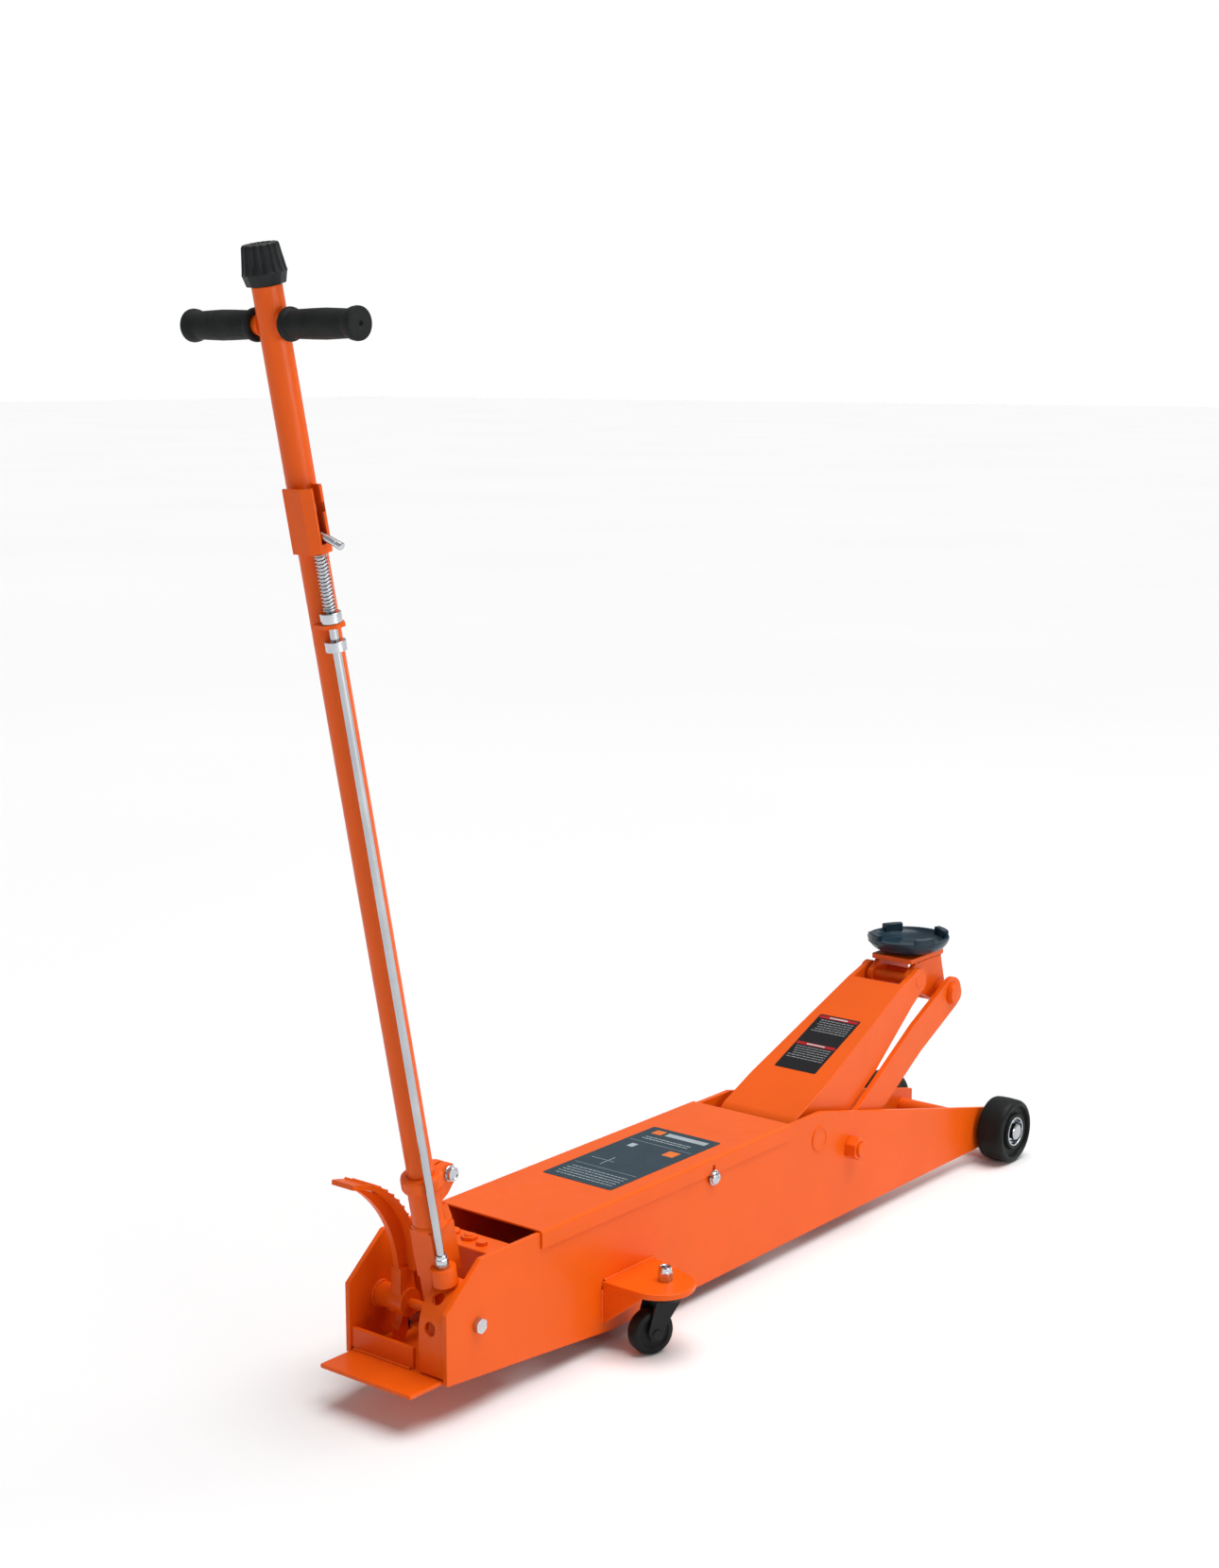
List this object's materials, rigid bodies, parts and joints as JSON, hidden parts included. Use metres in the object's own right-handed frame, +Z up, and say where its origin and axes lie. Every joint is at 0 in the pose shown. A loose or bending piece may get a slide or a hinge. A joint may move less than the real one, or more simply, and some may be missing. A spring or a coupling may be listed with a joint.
{
  "type": "hydraulic floor jack",
  "caption": "Long-chassis hydraulic floor jack with an upright pump handle and foot pedal, its lift arm raised and its saddle level.",
  "frame": {"origin": "centre of the whole jack's footprint, on the floor", "axes": "+X forward along the chassis towards the saddle and the front wheels, +Y to the left, +Z up"},
  "size_m": [1.5282, 0.372, 1.3597],
  "materials": {
    "orange_paint": "glossy powder coat",
    "zinc_plate": "bright zinc plate",
    "bright_steel": "ground and oiled steel",
    "black_wheel": "moulded nylon",
    "black_paint": "satin black paint",
    "grip_rubber": "moulded rubber",
    "knob_plastic": "satin moulded plastic",
    "saddle_paint": "semi-gloss dark blue-grey paint over a casting"
  },
  "bodies": {
    "chassis": {"side_plate_left": "orange_paint", "side_plate_right": "orange_paint", "cover_screw_left": "zinc_plate", "cover_screw_right": "zinc_plate", "link_bolt_left": "orange_paint", "link_bolt_right": "orange_paint", "caster_bracket_left": "orange_paint", "caster_bracket_right": "orange_paint", "caster_nut_left": "zinc_plate", "caster_nut_right": "zinc_plate", "foot_plate": "orange_paint", "top_cover": "orange_paint", "front_cross_plate": "orange_paint", "ram_mount_plate": "orange_paint", "pump_block": "orange_paint", "ram_cylinder": "orange_paint", "lock_quadrant": "orange_paint", "pivot_bolt": "zinc_plate", "pedal_spacer": "orange_paint", "arm_pivot_shaft": "orange_paint", "front_axle": "bright_steel"},
    "lift_arm": {"lift_arm": "orange_paint", "arm_tip_pin": "bright_steel"},
    "links": {"lift_link_left": "orange_paint", "lift_link_right": "orange_paint"},
    "saddle_bracket": {"saddle_bracket": "orange_paint", "link_pin": "orange_paint"},
    "saddle": {"saddle": "saddle_paint"},
    "ram": {"piston_rod": "bright_steel", "crosshead": "orange_paint"},
    "con_link": {"con_link": "orange_paint"},
    "handle": {"handle_yoke": "orange_paint", "clamp_bolt": "zinc_plate", "handle_tube": "orange_paint", "latch_bracket": "orange_paint", "rod_strap": "orange_paint", "lock_spring": "zinc_plate", "tee_bar_left": "orange_paint", "tee_bar_right": "orange_paint", "grip_left": "grip_rubber", "grip_right": "grip_rubber"},
    "lock_rod": {"lock_rod": "bright_steel", "lock_collar_upper": "zinc_plate", "lock_collar_lower": "zinc_plate", "lock_lever": "zinc_plate", "lock_ferrule": "zinc_plate"},
    "release": {"release_knob": "knob_plastic", "release_rod": "bright_steel"},
    "pedal": {"foot_pedal": "orange_paint"},
    "hand_plunger": {"hand_plunger": "bright_steel"},
    "foot_plunger": {"foot_plunger": "bright_steel"},
    "front_wheel_left": {"front_wheel_left": "black_wheel", "wheel_bearing_left": "zinc_plate"},
    "front_wheel_right": {"front_wheel_right": "black_wheel", "wheel_bearing_right": "zinc_plate"},
    "caster_left": {"caster_fork_left": "black_paint"},
    "caster_right": {"caster_fork_right": "black_paint"},
    "caster_wheel_left": {"caster_wheel_left": "black_wheel"},
    "caster_wheel_right": {"caster_wheel_right": "black_wheel"}
  },
  "joints": [
    {"name": "arm_lift", "type": "hinge", "parent": "chassis", "child": "lift_arm", "pos_m": [0.23611, 0, 0.152], "axis": [0, -1, 0], "range_deg": [-32, 35]},
    {"name": "link_swing", "type": "hinge", "parent": "chassis", "child": "links", "pos_m": [0.31811, 0, 0.119], "axis": [0, -1, 0], "range_deg": [-32, 35]},
    {"name": "bracket_level", "type": "hinge", "parent": "lift_arm", "child": "saddle_bracket", "pos_m": [0.55611, 0, 0.31], "axis": [0, -1, 0], "range_deg": [-35, 32]},
    {"name": "saddle_swivel", "type": "hinge", "parent": "saddle_bracket", "child": "saddle", "pos_m": [0.59961, 0, 0.345], "axis": [0, 0, 1], "continuous": true},
    {"name": "ram_slide", "type": "slide", "parent": "chassis", "child": "ram", "axis": [1, 0, 0], "range_m": [-0.0375, 0.041]},
    {"name": "con_link_swing", "type": "hinge", "parent": "lift_arm", "child": "con_link", "pos_m": [0.23411, 0, 0.082], "axis": [0, -1, 0], "range_deg": [-35, 32]},
    {"name": "handle_pump", "type": "hinge", "parent": "chassis", "child": "handle", "pos_m": [-0.48689, -0.03, 0.1105], "axis": [0, -1, 0], "range_deg": [0, 65]},
    {"name": "hand_plunger_slide", "type": "slide", "parent": "chassis", "child": "hand_plunger", "axis": [1, 0, 0], "range_m": [0, 0.036]},
    {"name": "pedal_press", "type": "hinge", "parent": "chassis", "child": "pedal", "pos_m": [-0.48689, 0.038, 0.1105], "axis": [0, -1, 0], "range_deg": [0, 35], "stiffness_Nm_per_rad": 6, "springref_deg": -20.05},
    {"name": "foot_plunger_slide", "type": "slide", "parent": "chassis", "child": "foot_plunger", "axis": [1, 0, 0], "range_m": [0, 0.021]},
    {"name": "lock_slide", "type": "slide", "parent": "handle", "child": "lock_rod", "axis": [-0.2028, 0, 0.9792], "range_m": [0, 0.015], "stiffness_N_per_m": 400, "springref_m": -0.02, "deforming": ["lock_spring"]},
    {"name": "release_turn", "type": "hinge", "parent": "handle", "child": "release", "pos_m": [-0.48689, -0.03, 0.1105], "axis": [-0.2028, 0, 0.9792], "range_deg": [0, 180]},
    {"name": "front_wheel_roll_left", "type": "hinge", "parent": "chassis", "child": "front_wheel_left", "pos_m": [0.71411, 0.1115, 0.05], "axis": [0, 1, 0], "continuous": true},
    {"name": "caster_swivel_left", "type": "hinge", "parent": "chassis", "child": "caster_left", "pos_m": [-0.19989, 0.143, 0.08], "axis": [0, 0, 1], "continuous": true},
    {"name": "caster_wheel_roll_left", "type": "hinge", "parent": "caster_left", "child": "caster_wheel_left", "pos_m": [-0.22056, 0.13548, 0.03], "axis": [0.342, -0.9397, 0], "continuous": true},
    {"name": "front_wheel_roll_right", "type": "hinge", "parent": "chassis", "child": "front_wheel_right", "pos_m": [0.71411, -0.1115, 0.05], "axis": [0, 1, 0], "continuous": true},
    {"name": "caster_swivel_right", "type": "hinge", "parent": "chassis", "child": "caster_right", "pos_m": [-0.19989, -0.143, 0.08], "axis": [0, 0, 1], "continuous": true},
    {"name": "caster_wheel_roll_right", "type": "hinge", "parent": "caster_right", "child": "caster_wheel_right", "pos_m": [-0.22056, -0.13548, 0.03], "axis": [-0.342, -0.9397, 0], "continuous": true}
  ],
  "couplings": [
    {"joint": "link_swing", "follows": "arm_lift", "ratio": 1},
    {"joint": "bracket_level", "follows": "arm_lift", "ratio": -1},
    {"joint": "con_link_swing", "follows": "arm_lift", "ratio": -1},
    {"joint": "ram_slide", "follows": "arm_lift", "m_per_rad": 0.0665},
    {"joint": "hand_plunger_slide", "follows": "handle_pump", "m_per_rad": 0.03147},
    {"joint": "foot_plunger_slide", "follows": "pedal_press", "m_per_rad": 0.0334}
  ]
}
